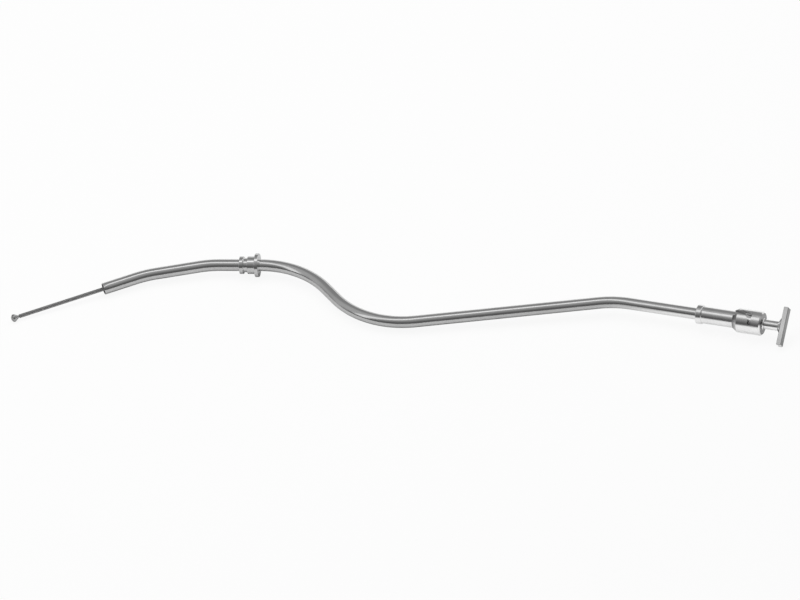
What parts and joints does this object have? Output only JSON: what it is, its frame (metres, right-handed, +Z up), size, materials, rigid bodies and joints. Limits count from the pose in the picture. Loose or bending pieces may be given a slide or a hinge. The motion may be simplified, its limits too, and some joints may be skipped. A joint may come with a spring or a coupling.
{
  "type": "oil dipstick",
  "caption": "Bent steel dipstick tube with a case fitting, a flexible measuring cable with a domed tip, and a twist-lock cap with a T handle.",
  "frame": {"origin": "centre of the footprint, on the surface that the part lies on", "axes": "+X from the level tip to the T handle, along the tube's long straight; +Z up from the surface; +Y to the left of +X"},
  "size_m": [0.8422, 0.2114, 0.032],
  "materials": {
    "tube_steel": "drawn and polished stainless steel, faint lengthwise grain",
    "fitting_steel": "bright turned steel",
    "sleeve_steel": "turned and polished steel",
    "cap_steel": "turned and polished steel",
    "handle_steel": "polished steel",
    "cable_wire": "close-wound steel wire, dull",
    "tip_steel": "turned steel",
    "pin_steel": "ground steel",
    "spring_steel": "plain spring steel",
    "seal_rubber": "moulded nitrile rubber"
  },
  "bodies": {
    "guide_tube": {"filler_tube": "tube_steel", "case_adapter": "fitting_steel", "neck_sleeve": "sleeve_steel", "bayonet_pin_1": "pin_steel", "bayonet_pin_2": "pin_steel", "dipstick_cable": "cable_wire", "level_tip": "tip_steel", "cable_ferrule": "pin_steel"},
    "locking_cap": {"lock_cap": "cap_steel", "tee_handle": "handle_steel", "seal_washer": "seal_rubber", "pressure_washer": "spring_steel", "disc_spring_lower": "spring_steel", "disc_spring_upper": "spring_steel", "stem_clip": "spring_steel", "swivel_pin": "pin_steel"}
  },
  "joints": [
    {"name": "cap_twist", "type": "hinge", "parent": "guide_tube", "child": "locking_cap", "pos_m": [0.37891, -0.07421, 0.01589], "axis": [0.9391, -0.3437, 0.0026], "range_deg": [0, 48]}
  ]
}
